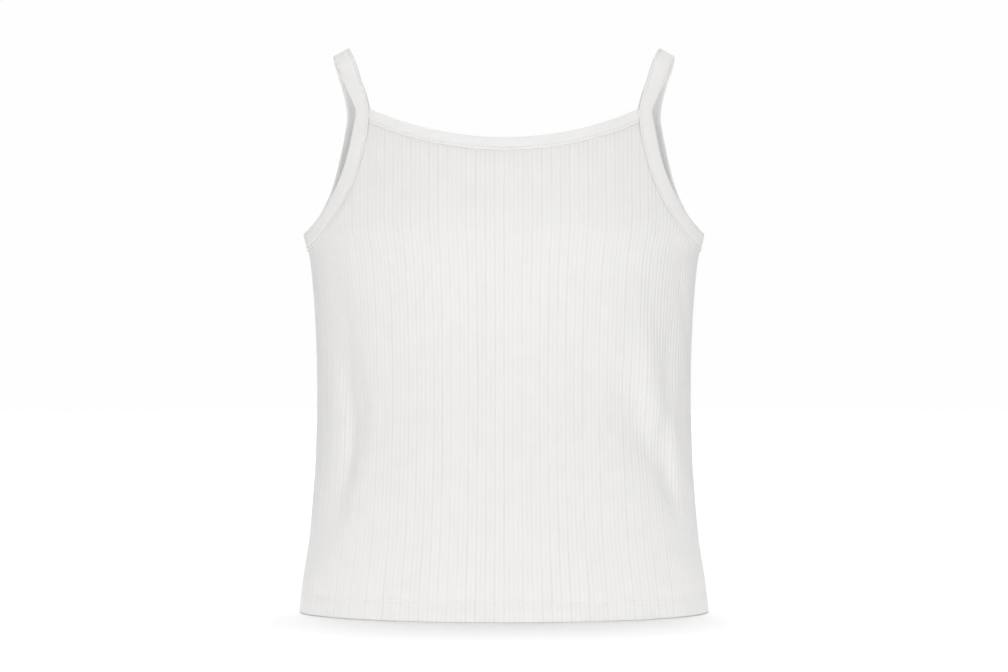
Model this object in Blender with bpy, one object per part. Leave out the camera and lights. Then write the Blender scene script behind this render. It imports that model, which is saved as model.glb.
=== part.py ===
"""A ribbed camisole top, standing open as if worn: two knitted panels, two neck bindings and two strips.

Metres, +Z up, front towards -Y, the wearer's left towards +X.  The origin is midway between the undersides
of the two straps where they cross the shoulders, and the garment hangs below it.

The body is one smooth surface of an angle round it (0 at the front centre, 90 degrees at the wearer's left
side) and a height.  Every piece is made from points of that surface, moved along its normal.
"""
import math

import bmesh
import bpy
import numpy as np

# ---------------------------------------------------------------- driving dimensions
CLOTH = 0.0011               # wall of the ribbed cloth
LEG = 0.0010                 # one leg of a binding, folded over an edge
SLOT_GAP = 0.00045           # room between a leg and the cloth it holds
SEAM_GAP = 0.0003            # room between two pieces that are sewn edge to edge
HEM_HEIGHT = -0.4155         # fold of the hem
HEM_DEPTH = 0.0155           # height of the turned-up layer
HEM_ROUND = 0.0005           # rounding of the hem's fold
NECK_BINDING_WIDTH = 0.0096
ARMHOLE_BINDING_WIDTH = 0.0130
STRAP_FOOT_WIDTH = 0.0114
STRAP_FACE = 0.0006          # outer face of the strap, out from the line it follows
STRAP_THICKNESS = 0.0024

# Neck edges are arcs in the front view: lowest height at the centre, and radius.
FRONT_NECK_LOW = -0.0661
FRONT_NECK_RADIUS = 0.2265
BACK_NECK_LOW = -0.0600
BACK_NECK_RADIUS = 0.3900
PANEL_CORNER_HEIGHT = -0.0455   # the panels stop here inside the strips

SIDE_SEAM_DEPTH = 0.0922        # front depth of the section at the armholes' lowest points
SHOULDER_HALF_WIDTH = 0.1500    # half width of every section above those points
NECK_END_RISE = 0.0240          # a neck binding's ends are less than this above its middle

# height, half width, front depth, back depth of the body's elliptical sections
BODY_SECTIONS = (
    (-0.4155, 0.1536, 0.0930, 0.0925),
    (-0.3950, 0.1512, 0.0922, 0.0915),
    (-0.3650, 0.1464, 0.0905, 0.0890),
    (-0.3300, 0.1432, 0.0890, 0.0865),
    (-0.2900, 0.1408, 0.0878, 0.0845),
    (-0.2450, 0.1400, 0.0870, 0.0835),
    (-0.2000, 0.1413, 0.0880, 0.0850),
    (-0.1700, 0.1434, 0.0898, 0.0872),
    (-0.1480, 0.1461, 0.0915, 0.0888),
    (-0.1340, 0.1495, 0.0922, 0.0895),
    (-0.1000, 0.1500, 0.0900, 0.0880),
    (-0.0650, 0.1500, 0.0838, 0.0830),
    (-0.0300, 0.1500, 0.0730, 0.0735),
)

# Armhole edges from the strap's foot down to the side seam.
# angle off the centre line in degrees, height
FRONT_ARMHOLE = (
    (46.2, -0.0460),
    (47.1, -0.0560),
    (48.7, -0.0700),
    (51.2, -0.0860),
    (54.7, -0.0995),
    (59.4, -0.1120),
    (66.0, -0.1233),
    (75.5, -0.1308),
    (90.0, -0.1335),
)
BACK_ARMHOLE = (
    (53.1, -0.0460),
    (54.7, -0.0600),
    (57.0, -0.0760),
    (60.0, -0.0930),
    (64.4, -0.1080),
    (71.0, -0.1220),
    (79.5, -0.1305),
    (90.0, -0.1335),
)

# Middle line of a strap between its two feet, and how its width lies.
# x, y, z, turn of the width towards the back in degrees, drop of the outer edge in degrees, width
STRAP_PATH = (
    (0.1062, -0.0535, -0.0345, 20.0, 13.0, 0.0120),
    (0.1109, -0.0475, -0.0235, 15.0, 13.0, 0.0132),
    (0.1150, -0.0395, -0.0120, 12.0, 17.0, 0.0142),
    (0.1190, -0.0250, -0.0028, 7.0, 24.0, 0.0138),
    (0.1217, -0.0070, 0.0021, 2.0, 29.0, 0.0130),
    (0.1227, 0.0100, 0.0013, -4.0, 30.0, 0.0126),
    (0.1219, 0.0260, -0.0048, -11.0, 27.0, 0.0126),
    (0.1187, 0.0385, -0.0165, -19.0, 21.0, 0.0122),
    (0.1160, 0.0445, -0.0290, -24.0, 15.0, 0.0117),
)

# Largest folds: a middle line given by angles at heights, top to bottom, then half width and depth.
# A negative depth is a ridge.
# name, ((angle in degrees, height), ...), half width, depth
LARGE_FOLDS = (
    ("left front drag", ((37.0, -0.215), (45.0, -0.278), (54.0, -0.312), (68.0, -0.352)), 0.013, 0.0030),
    ("left front ridge", ((41.0, -0.165), (49.0, -0.240), (60.0, -0.290), (72.0, -0.325)), 0.013, -0.0020),
    ("right front drag", ((-59.0, -0.150), (-57.0, -0.210), (-50.0, -0.268), (-56.0, -0.345)), 0.016, 0.0026),
    ("left back drag", ((146.0, -0.205), (138.0, -0.262), (127.0, -0.312), (116.0, -0.355)), 0.015, 0.0028),
    ("right back drag", ((-122.0, -0.160), (-125.0, -0.220), (-131.0, -0.285), (-124.0, -0.345)), 0.016, 0.0026),
)

# ---------------------------------------------------------------- tessellation
ARMHOLE_STEPS = 16           # stations along one armhole edge
STRAP_STEPS = 18             # stations along one strap
NECK_STEPS = 14              # columns across one neck edge
FLAT_ROWS = (-0.3775, -0.3525, -0.3275, -0.3025, -0.2775, -0.2525, -0.2250, -0.1975, -0.1725, -0.1540)
TOP_SHARES = (0.25, 0.5, 0.75, 1.0)   # rows between the last flat row and the panel's top edge

FRONT = 0.0
BACK = math.pi
WHITE_RIB = (0.86, 0.85, 0.84, 1.0)
WHITE_BINDING = (0.88, 0.87, 0.86, 1.0)


# ---------------------------------------------------------------- curves and the body's surface
def smooth_through(knots, values, at):
    """Cubic through every knot, its slope there being the mean of its neighbours'."""
    knots = np.asarray(knots, float)
    values = np.asarray(values, float)
    slopes = np.gradient(values, knots, axis=0)
    index = np.clip(np.searchsorted(knots, at) - 1, 0, len(knots) - 2)
    span = knots[index + 1] - knots[index]
    share = (at - knots[index]) / span
    if values.ndim > 1:
        span = span[..., None]
        share = share[..., None]
    rise = share * share * (3 - 2 * share)
    leave = share * (1 - share) ** 2 * span
    arrive = share * share * (share - 1) * span
    return (values[index] * (1 - rise) + values[index + 1] * rise
            + slopes[index] * leave + slopes[index + 1] * arrive)


def fold_depth(angle, height, half_width):
    """Inward push of the folds: a bell across each one, fading in and out along it."""
    depth = np.zeros_like(angle + height)
    for _, line, reach, deepest in LARGE_FOLDS:
        angles = np.radians([point[0] for point in line])[::-1]
        heights = np.array([point[1] for point in line])[::-1]
        inside = np.clip(height, heights[0], heights[-1])
        middle = smooth_through(heights, angles, inside)
        along = (height - heights[0]) / (heights[-1] - heights[0])
        turn = np.angle(np.exp(1j * (angle - middle)))
        across = np.abs(turn) * 0.75 * half_width / reach
        bell = np.where(across < 2.0, np.cos(np.clip(across, 0, 2.0) * math.pi / 4) ** 2, 0.0)
        fade = np.where((along > 0) & (along < 1), np.sin(np.clip(along, 0, 1) * math.pi) ** 1.5, 0.0)
        depth = depth + deepest * bell * fade
    return depth


def body_point(angle, height):
    """Outer face of the cloth: an elliptical section whose front and back depths differ."""
    angle, height = np.broadcast_arrays(np.asarray(angle, float), np.asarray(height, float))
    table = np.array(BODY_SECTIONS)
    half_width, front, back = np.moveaxis(smooth_through(table[:, 0], table[:, 1:], height), -1, 0)
    depth = np.where(np.cos(angle) > 0, front, back)
    out_x = np.sin(angle) / half_width
    out_y = -np.cos(angle) / depth
    out = np.hypot(out_x, out_y)
    push = fold_depth(angle, height, half_width)
    x = half_width * np.sin(angle) - push * out_x / out
    y = -depth * np.cos(angle) - push * out_y / out
    return np.stack([x, y, height], axis=-1)


def slopes_at(angle, height):
    """The surface's change per radian and per metre of height."""
    turn = 1e-4
    rise = 1e-5
    per_angle = (body_point(angle + turn, height) - body_point(angle - turn, height)) / (2 * turn)
    per_height = (body_point(angle, height + rise) - body_point(angle, height - rise)) / (2 * rise)
    return per_angle, per_height


def body_normal(angle, height):
    per_angle, per_height = slopes_at(angle, height)
    return unit(np.cross(per_angle, per_height))


def unit(vectors):
    return vectors / np.linalg.norm(vectors, axis=-1, keepdims=True)


def step_inside(angles, heights, distance, towards):
    """Move each point of an edge into the cloth, square to the edge, by a distance on the surface."""
    along_angle = np.gradient(angles)
    along_height = np.gradient(heights)
    per_angle, per_height = slopes_at(angles, heights)
    e = (per_angle * per_angle).sum(-1)
    f = (per_angle * per_height).sum(-1)
    g = (per_height * per_height).sum(-1)
    turn = -(f * along_angle + g * along_height)
    rise = e * along_angle + f * along_height
    length = np.sqrt(e * turn ** 2 + 2 * f * turn * rise + g * rise ** 2)
    return angles + towards * distance * turn / length, heights + towards * distance * rise / length


# ---------------------------------------------------------------- edges
def armhole_edge(table, centre, side):
    """Angles and heights of evenly spaced stations, from the strap's foot to the side seam."""
    rows = np.array(table)
    angle = np.radians(rows[:, 0])
    points = body_point(angle, rows[:, 1])
    chord = np.concatenate([[0.0], np.cumsum(np.linalg.norm(np.diff(points, axis=0), axis=1))])
    at = np.linspace(0.0, chord[-1], ARMHOLE_STEPS + 1)
    values = smooth_through(chord, np.column_stack([angle, rows[:, 1]]), at)
    side_seam = math.pi / 2 - SEAM_GAP / 2 / SIDE_SEAM_DEPTH
    off_centre = np.minimum(values[:, 0], side_seam)
    if centre == BACK:
        return side * (math.pi - off_centre), values[:, 1]
    return side * off_centre, values[:, 1]


def inward_sign(centre, side):
    """Which way step_inside goes from an armhole to reach the cloth."""
    if centre == BACK:
        return side
    return -side


def neck_height(centre, angle):
    """Height of a neck edge, an arc in the front view."""
    low = BACK_NECK_LOW if centre == BACK else FRONT_NECK_LOW
    radius = BACK_NECK_RADIUS if centre == BACK else FRONT_NECK_RADIUS
    x = SHOULDER_HALF_WIDTH * np.sin(angle)
    return low + radius - np.sqrt(radius ** 2 - x ** 2)


def neck_lean(centre, angle):
    """How much longer a plumb line across the neck binding is than one square to it."""
    radius = BACK_NECK_RADIUS if centre == BACK else FRONT_NECK_RADIUS
    x = SHOULDER_HALF_WIDTH * np.sin(angle)
    return radius / np.sqrt(radius ** 2 - x ** 2)


# ---------------------------------------------------------------- meshes
def add_object(name, points, faces, material):
    mesh = bpy.data.meshes.new(name)
    mesh.from_pydata([tuple(point) for point in points], [], faces)
    shape = bmesh.new()
    shape.from_mesh(mesh)
    bmesh.ops.delete(shape, geom=[v for v in shape.verts if not v.link_faces], context="VERTS")
    bmesh.ops.recalc_face_normals(shape, faces=shape.faces)
    shape.to_mesh(mesh)
    shape.free()
    mesh.shade_smooth()
    mesh.set_sharp_from_angle(angle=math.radians(35))
    mesh.materials.append(material)
    piece = bpy.data.objects.new(name, mesh)
    bpy.context.scene.collection.objects.link(piece)
    return piece


def make_material(name, colour, roughness):
    material = bpy.data.materials.new(name)
    material.use_nodes = True
    shader = material.node_tree.nodes["Principled BSDF"]
    shader.inputs["Base Color"].default_value = colour
    shader.inputs["Roughness"].default_value = roughness
    shader.inputs["Metallic"].default_value = 0.0
    return material


def wrap_faces(stations, ring, first=0):
    """Quads between neighbouring closed rings of a loft."""
    faces = []
    for station in range(stations - 1):
        here = first + station * ring
        for corner in range(ring):
            following = (corner + 1) % ring
            faces.append((here + corner, here + following, here + ring + following, here + ring + corner))
    return faces


# ---------------------------------------------------------------- panels
def panel_top(centre, neck_end):
    """Angles and top heights of a panel's columns, from the wearer's right side seam to the left one."""
    table = BACK_ARMHOLE if centre == BACK else FRONT_ARMHOLE
    inset = LEG + SLOT_GAP
    edge = armhole_edge(table, centre, 1)
    angles, heights = step_inside(*edge, inset, inward_sign(centre, 1))
    angles[-1] = edge[0][-1]
    heights[0] = PANEL_CORNER_HEIGHT
    neck = np.linspace(-neck_end, neck_end, NECK_STEPS + 1)
    if centre == BACK:
        angles = math.pi - angles
    neck_heights = neck_height(centre, neck) - inset * neck_lean(centre, neck)
    neck_heights = np.minimum(neck_heights, PANEL_CORNER_HEIGHT)
    all_angles = np.concatenate([-angles[::-1], neck, angles])
    all_heights = np.concatenate([heights[::-1], neck_heights, heights])
    if centre == BACK:
        all_angles = math.pi - all_angles
    return all_angles, all_heights


def make_panel(name, centre, neck_end, material):
    """A wall of cloth between the side seams, with its lower end folded up inside as the hem."""
    angles, tops = panel_top(centre, neck_end)
    hem_top = HEM_HEIGHT + HEM_DEPTH
    heights = [np.full_like(tops, HEM_HEIGHT + HEM_ROUND), np.full_like(tops, hem_top)]
    heights += [np.full_like(tops, row) for row in FLAT_ROWS]
    heights += [FLAT_ROWS[-1] + share * (tops - FLAT_ROWS[-1]) for share in TOP_SHARES]
    inner = list(heights)
    inner[0] = np.full_like(tops, HEM_HEIGHT + CLOTH)
    fold_outer = CLOTH + SEAM_GAP
    fold_inner = 2 * CLOTH + SEAM_GAP
    hem = [
        (fold_outer, HEM_HEIGHT + CLOTH),
        (fold_outer, hem_top),
        (fold_inner, hem_top),
        (fold_inner, HEM_HEIGHT + HEM_ROUND),
        (fold_inner - HEM_ROUND, HEM_HEIGHT),
        (HEM_ROUND, HEM_HEIGHT),
    ]
    depth = [0.0] * len(heights) + [CLOTH] * len(inner) + [offset for offset, _ in hem]
    rows = heights + inner[::-1] + [np.full_like(tops, height) for _, height in hem]
    depth = np.array(depth)[None, :, None]
    grid_heights = np.stack(rows, axis=1)
    grid_angles = np.repeat(angles[:, None], len(rows), axis=1)
    points = body_point(grid_angles, grid_heights) - depth * body_normal(grid_angles, grid_heights)
    columns, ring = grid_heights.shape
    faces = wrap_faces(columns, ring)
    for start in (0, (columns - 1) * ring):
        faces += seam_cap(start, len(heights))
    return add_object(name, points.reshape(-1, 3), faces, material)


def seam_cap(start, rows):
    """Quads that close a panel's side edge: the wall, the hem's fold and its turned-up layer."""
    outer = [start + row for row in range(rows)]
    inner = [start + 2 * rows - 1 - row for row in range(rows)]
    fold = [start + 2 * rows + corner for corner in range(6)]
    faces = [(outer[row], outer[row + 1], inner[row + 1], inner[row]) for row in range(rows - 1)]
    faces.append((outer[0], inner[0], fold[0], fold[3], fold[4], fold[5]))
    faces.append((fold[0], fold[1], fold[2], fold[3]))
    return faces


# ---------------------------------------------------------------- bindings
def channel_rings(edge, inside, edge_normal, inside_normal, levels, width):
    """Eight corners of a strip folded over an edge: outer leg, slot, inner leg."""
    outer, slot_outer, slot_inner, inner = [np.asarray(level, float)[..., None] for level in levels]
    roof = LEG / width
    roof_point = edge + (inside - edge) * roof[:, None]
    roof_normal = unit(edge_normal + (inside_normal - edge_normal) * roof[:, None])
    return np.stack([
        edge + edge_normal * outer,
        inside + inside_normal * outer,
        inside + inside_normal * slot_outer,
        roof_point + roof_normal * slot_outer,
        roof_point + roof_normal * slot_inner,
        inside + inside_normal * slot_inner,
        inside + inside_normal * inner,
        edge + edge_normal * inner,
    ], axis=1)


def channel_cap(start):
    """A channel's end: two legs and the fold between them."""
    a, b, c, d, e, f, g, h = [start + corner for corner in range(8)]
    return [(a, b, c, d), (a, d, e, h), (e, f, g, h)]


def channel_levels(count):
    """Distances of the four faces from the body's surface, for a strip that holds cloth."""
    outer = SLOT_GAP + LEG
    inner = -CLOTH - SLOT_GAP - LEG
    return [np.full(count, level) for level in (outer, SLOT_GAP, -CLOTH - SLOT_GAP, inner)]


def strip_lines(side):
    """Edge and inner lines of a strip from the front side seam over the shoulder to the back side seam."""
    parts = []
    for table, centre in ((FRONT_ARMHOLE, FRONT), (BACK_ARMHOLE, BACK)):
        angles, heights = armhole_edge(table, centre, side)
        distance = ARMHOLE_BINDING_WIDTH + (STRAP_FOOT_WIDTH - ARMHOLE_BINDING_WIDTH) \
            * np.clip(1 - np.arange(ARMHOLE_STEPS + 1) / 2, 0, 1)
        in_angles, in_heights = step_inside(angles, heights, distance, inward_sign(centre, side))
        in_angles[-1] = angles[-1]
        parts.append((body_point(angles, heights), body_point(in_angles, in_heights),
                      body_normal(angles, heights), body_normal(in_angles, in_heights)))
    path = np.array(STRAP_PATH)
    turn = np.radians(path[:, 3])
    drop = np.radians(path[:, 4])
    across = np.column_stack([np.cos(drop) * np.cos(turn), np.cos(drop) * np.sin(turn), -np.sin(drop)])
    middle = path[:, :3]
    mirror = np.array([side, 1, 1])
    half_width = path[:, 5:] / 2
    strap_edge = (middle + across * half_width) * mirror
    strap_inside = (middle - across * half_width) * mirror
    front, back = parts
    feet = 3
    key_edge = np.concatenate([front[0][:feet][::-1], strap_edge, back[0][:feet]])
    key_inside = np.concatenate([front[1][:feet][::-1], strap_inside, back[1][:feet]])
    centre_line = (key_edge + key_inside) / 2
    chord = np.concatenate([[0.0], np.cumsum(np.linalg.norm(np.diff(centre_line, axis=0), axis=1))])
    at = np.linspace(chord[feet - 1], chord[-feet], STRAP_STEPS + 1)[1:-1]
    edge = smooth_through(chord, key_edge, at)
    inside = smooth_through(chord, key_inside, at)
    along = np.gradient((edge + inside) / 2, at, axis=0)
    normal = unit(np.cross(edge - inside, along)) * side
    edge = np.concatenate([front[0][::-1], edge, back[0]])
    inside = np.concatenate([front[1][::-1], inside, back[1]])
    edge_normal = np.concatenate([front[2][::-1], normal, back[2]])
    inside_normal = np.concatenate([front[3][::-1], normal, back[3]])
    width = np.linalg.norm(edge - inside, axis=1)
    return edge, inside, edge_normal, inside_normal, width


def make_strip(name, side, material):
    """One binding strip: a channel on each armhole, closed to a flat strap between them."""
    edge, inside, edge_normal, inside_normal, width = strip_lines(side)
    count = len(edge)
    front_end = ARMHOLE_STEPS + 1
    back_end = count - ARMHOLE_STEPS - 2
    station = np.arange(count)
    reach = np.minimum(station - front_end, back_end - station)
    strap_share = np.clip(reach / 3, 0, 1)
    strap = (STRAP_FACE, STRAP_FACE - STRAP_THICKNESS * 0.2,
             STRAP_FACE - STRAP_THICKNESS * 0.8, STRAP_FACE - STRAP_THICKNESS)
    levels = [channel + strap_share * (flat - channel) for channel, flat in zip(channel_levels(count), strap)]
    points = channel_rings(edge, inside, edge_normal, inside_normal, levels, width).reshape(-1, 3)
    ring = 8
    faces = wrap_faces(front_end + 1, ring)
    faces += wrap_faces(count - back_end, ring, back_end * ring)
    flat_ring = (0, 1, 2, 5, 6, 7)
    for here in range(front_end, back_end):
        for corner, following in zip(flat_ring, flat_ring[1:] + flat_ring[:1]):
            low = here * ring
            faces.append((low + corner, low + following, low + ring + following, low + ring + corner))
    for closed in (front_end, back_end):
        faces.append(tuple(closed * ring + corner for corner in (2, 3, 4, 5)))
    faces += channel_cap(0)
    faces += channel_cap((count - 1) * ring)
    return add_object(name, points, faces, material)


def neck_reach(centre):
    """Angle at which a neck binding ends: plumb, and a seam's gap inside the strip's inner line."""
    inside = strip_lines(1)[1]
    half = inside[:len(inside) // 2] if centre == FRONT else inside[len(inside) // 2:]
    low = BACK_NECK_LOW if centre == BACK else FRONT_NECK_LOW
    beside = half[(half[:, 2] > low) & (half[:, 2] < low + NECK_END_RISE)]
    return float(np.arcsin((beside[:, 0].min() - SEAM_GAP) / SHOULDER_HALF_WIDTH))


def make_neck_binding(name, centre, material):
    """A strip folded over a neck edge, with its ends cut along the straps' strips."""
    reach = neck_reach(centre)
    angles = np.linspace(-reach, reach, NECK_STEPS + 1)
    heights = neck_height(centre, angles)
    in_heights = heights - NECK_BINDING_WIDTH * neck_lean(centre, angles)
    if centre == BACK:
        angles = math.pi - angles
    count = NECK_STEPS + 1
    width = np.full(count, NECK_BINDING_WIDTH)
    points = channel_rings(body_point(angles, heights), body_point(angles, in_heights),
                           body_normal(angles, heights), body_normal(angles, in_heights),
                           channel_levels(count), width)
    faces = wrap_faces(count, 8) + channel_cap(0) + channel_cap((count - 1) * 8)
    return add_object(name, points.reshape(-1, 3), faces, material)


# ---------------------------------------------------------------- the garment
def main():
    for old in list(bpy.data.objects):
        bpy.data.objects.remove(old, do_unlink=True)
    rib = make_material("white ribbed knit", WHITE_RIB, 0.9)
    binding = make_material("white binding knit", WHITE_BINDING, 0.85)
    neck_ends = {centre: neck_reach(centre) for centre in (FRONT, BACK)}
    make_panel("front_panel", FRONT, neck_ends[FRONT], rib)
    make_panel("back_panel", BACK, neck_ends[BACK], rib)
    make_neck_binding("front_neck_binding", FRONT, binding)
    make_neck_binding("back_neck_binding", BACK, binding)
    make_strip("left_strap_binding", 1, binding)
    make_strip("right_strap_binding", -1, binding)


main()
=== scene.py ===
# %% [markdown]
# # A ribbed camisole top, standing open
#
# The top is six pieces of cotton knit: a front and a back body panel in rib, a folded binding on each
# neck edge, and one long folded strip on each side that binds the front armhole, runs over the shoulder
# as the strap and binds the back armhole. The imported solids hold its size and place. This file makes the
# cloth: thin walls with ribs, folds, stitches and fibres.
#
# Every piece is a grid of points worked out with numpy. All share one step, the body surface, which turns
# an angle round the body and a height into a place in space.

import math

import bmesh
import bpy
import numpy as np
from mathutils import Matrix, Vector


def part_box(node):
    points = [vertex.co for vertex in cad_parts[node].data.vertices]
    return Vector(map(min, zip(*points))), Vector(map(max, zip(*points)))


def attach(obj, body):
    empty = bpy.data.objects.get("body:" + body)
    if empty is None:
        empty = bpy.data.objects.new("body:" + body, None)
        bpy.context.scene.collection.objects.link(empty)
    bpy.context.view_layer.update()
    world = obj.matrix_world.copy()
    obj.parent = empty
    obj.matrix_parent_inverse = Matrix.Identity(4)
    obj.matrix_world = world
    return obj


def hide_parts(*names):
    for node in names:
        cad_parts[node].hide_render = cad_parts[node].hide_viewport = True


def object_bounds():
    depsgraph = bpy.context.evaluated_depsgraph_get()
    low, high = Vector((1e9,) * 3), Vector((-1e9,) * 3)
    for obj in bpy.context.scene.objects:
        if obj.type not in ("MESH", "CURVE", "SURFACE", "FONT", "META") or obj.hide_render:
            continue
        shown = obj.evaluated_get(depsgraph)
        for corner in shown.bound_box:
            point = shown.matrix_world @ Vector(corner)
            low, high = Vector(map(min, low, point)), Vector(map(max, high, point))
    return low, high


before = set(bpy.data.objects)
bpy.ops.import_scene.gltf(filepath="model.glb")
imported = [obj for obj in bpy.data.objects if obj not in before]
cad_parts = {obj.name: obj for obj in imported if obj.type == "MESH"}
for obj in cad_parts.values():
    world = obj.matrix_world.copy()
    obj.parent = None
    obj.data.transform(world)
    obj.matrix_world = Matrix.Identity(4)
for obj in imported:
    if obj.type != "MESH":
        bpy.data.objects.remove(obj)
cad_low, cad_high = [list(corner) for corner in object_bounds()]
front_low, front_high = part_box("front_panel")
back_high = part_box("back_panel")[1]
print("nodes:", list(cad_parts))
print("box of the solids, mm:", np.round(np.array(cad_low) * 1000, 1), np.round(np.array(cad_high) * 1000, 1))

# %% [markdown]
# ## Shared numbers
#
# Sizes are in millimetres. Each table is short: a curve needs no more rows than the shape has bends.

# %% Driving sizes
MM = 0.001  # metres in a millimetre
CLOTH = 0.9  # the rib knit's wall
HEM_LAYER = 16.2  # height of the turned-up hem
HEM_STITCH_HEIGHTS = (12.0, 15.0)  # the hem's two needles, above its fold
NECK_WIDTH = 9.6
ARMHOLE_WIDTH = 13.0
STRAP_FOOT_WIDTH = 11.4
WALES_PER_PANEL = 112  # upright ribs between two side seams
FRONT = 0.0
BACK = math.pi
LEFT = 1
RIGHT = -1


def smooth_through(knots, values, at):
    """Cubic through every knot: h00*v0 + h01*v1 + span*(h10*slope0 + h11*slope1), slopes by differences."""
    knots = np.asarray(knots, float)
    values = np.asarray(values, float)
    slopes = np.gradient(values, knots, axis=0)
    index = np.clip(np.searchsorted(knots, at) - 1, 0, len(knots) - 2)
    span = knots[index + 1] - knots[index]
    share = (at - knots[index]) / span
    if values.ndim > 1:
        span = span[..., None]
        share = share[..., None]
    rise = share * share * (3 - 2 * share)
    leave = share * (1 - share) ** 2 * span
    arrive = share * share * (share - 1) * span
    return (values[index] * (1 - rise) + values[index + 1] * rise
            + slopes[index] * leave + slopes[index + 1] * arrive)


def unit(vectors):
    """Each vector divided by its length."""
    return vectors / np.linalg.norm(vectors, axis=-1, keepdims=True)


def bump(distance, reach):
    """A soft bell: exp(-(distance / reach) squared)."""
    return np.exp(-(distance / reach) ** 2)


def chord_lengths(points):
    """Running length along a line of points, starting at 0."""
    steps = np.linalg.norm(np.diff(points, axis=0), axis=1)
    return np.concatenate([[0.0], np.cumsum(steps)])


# %% [markdown]
# ## The body surface
#
# The filled-out top is an oval tube: widest at the hem, drawn in at the waist, full again at the chest
# and leaning in towards the shoulders. The frame's boxes set the exact height, width and depth.

# %% Ovals of the body
OVALS = np.array([
    # height, half width, front depth, back depth
    (-415.5, 153.6, 93.0, 92.5),
    (-395.0, 151.2, 92.2, 91.5),
    (-365.0, 146.4, 90.5, 89.0),
    (-330.0, 143.2, 89.0, 86.5),
    (-290.0, 140.8, 87.8, 84.5),
    (-245.0, 140.0, 87.0, 83.5),
    (-200.0, 141.3, 88.0, 85.0),
    (-170.0, 143.4, 89.8, 87.2),
    (-148.0, 146.1, 91.5, 88.8),
    (-134.0, 149.5, 92.2, 89.5),
    (-100.0, 150.0, 90.0, 88.0),
    (-65.0, 150.0, 83.8, 83.0),
    (-30.0, 150.0, 73.0, 73.5),
])
HEM_DIP = 0.2  # the hem's fold is rounded, and dips below the last oval
HEM = float(front_low.z) / MM + HEM_DIP
fit = np.array([HEM / OVALS[0, 0], float(front_high.x) / MM / OVALS[0, 1],
                -float(front_low.y) / MM / OVALS[0, 2], float(back_high.y) / MM / OVALS[0, 3]])
OVALS = OVALS * fit
print("the table fits the frame by", np.round(fit, 4))

# %% [markdown]
# ## Folds
#
# A filled knit top has few folds: long soft drags that run from the bust and the armholes towards the
# sides of the hem, where the tube is pulled in at the waist. A cosine bell gives a fold's section, and it
# fades in and out along its line. The first five also shape the imported solids, which have the first of
# them a little deeper. The rest are mostly narrower, and the back has its own.

# %% Folds
FOLDS = (
    # (degrees, height) from top to bottom, half width, depth (negative is a ridge)
    (((37, -215), (45, -278), (54, -312), (68, -352)), 13.0, 2.0),
    (((41, -165), (49, -240), (60, -290), (72, -325)), 13.0, -2.0),
    (((-59, -150), (-57, -210), (-50, -268), (-56, -345)), 16.0, 2.6),
    (((146, -205), (138, -262), (127, -312), (116, -355)), 15.0, 2.8),
    (((-122, -160), (-125, -220), (-131, -285), (-124, -345)), 16.0, 2.6),
    (((39, -205), (45, -262), (53, -300), (63, -335)), 6.5, 0.8),
    (((44, -165), (50, -228), (60, -277), (72, -314)), 6.0, -0.9),
    (((41, -268), (49, -298), (59, -322), (72, -350)), 6.0, 0.6),
    (((-51, -150), (-49, -212), (-43, -268), (-46, -305), (-53, -350)), 5.0, -1.2),
    (((-60, -185), (-57, -232), (-54, -272), (-55, -315), (-62, -372)), 6.0, 2.8),
    (((62, -190), (60, -240), (57, -285), (60, -325), (68, -372)), 6.0, 2.0),
    (((50, -196), (49, -246), (49, -292), (55, -340)), 4.5, -0.6),
    (((-67, -168), (-61, -182), (-56, -198), (-52, -216)), 4.5, 0.7),
    (((-70, -182), (-64, -197), (-58, -213), (-54, -232)), 4.0, -0.5),
    (((-72, -200), (-66, -216), (-60, -236), (-57, -262)), 4.5, 0.6),
    (((-64, -255), (-57, -290), (-61, -330), (-66, -372)), 8.0, 0.8),
    (((62, -150), (66, -172), (72, -196), (79, -226)), 6.0, 0.7),
    (((20, -300), (26, -335), (31, -368), (35, -402)), 14.0, 0.7),
    (((-24, -285), (-21, -325), (-26, -365), (-30, -400)), 15.0, 0.6),
    (((132, -150), (128, -186), (121, -215), (112, -240)), 8.0, 1.0),
    (((150, -230), (141, -285), (131, -326), (121, -366)), 6.0, 0.8),
    (((-134, -190), (-139, -240), (-141, -295), (-134, -350)), 7.0, 0.9),
    (((-112, -172), (-117, -196), (-124, -214), (-133, -228)), 5.0, 0.7),
    (((172, -280), (168, -320), (171, -360), (175, -398)), 15.0, 0.7),
    (((-160, -300), (-164, -335), (-159, -370), (-156, -402)), 14.0, 0.6),
)
MEAN_RADIUS = 0.75  # of an oval, as a share of its half width
FADE_POWER = 1.5


def fold_depth(angle, height, half_width):
    """Inward push: sum over folds of depth * cos(across * pi / 4)^2 * sin(pi * share along)^1.5."""
    depth = np.zeros(np.broadcast(angle, height).shape)
    for line, reach, deepest in FOLDS:
        angles = np.radians([place[0] for place in line])[::-1]
        heights = np.array([place[1] for place in line], float)[::-1]
        middle = smooth_through(heights, angles, np.clip(height, heights[0], heights[-1]))
        along = (height - heights[0]) / (heights[-1] - heights[0])
        turn = np.angle(np.exp(1j * (angle - middle)))
        across = np.abs(turn) * MEAN_RADIUS * half_width / reach
        bell = np.where(across < 2, np.cos(np.clip(across, 0, 2) * math.pi / 4) ** 2, 0)
        fade = np.where((along > 0) & (along < 1), np.sin(np.clip(along, 0, 1) * math.pi) ** FADE_POWER, 0)
        depth = depth + deepest * bell * fade
    return depth


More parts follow.
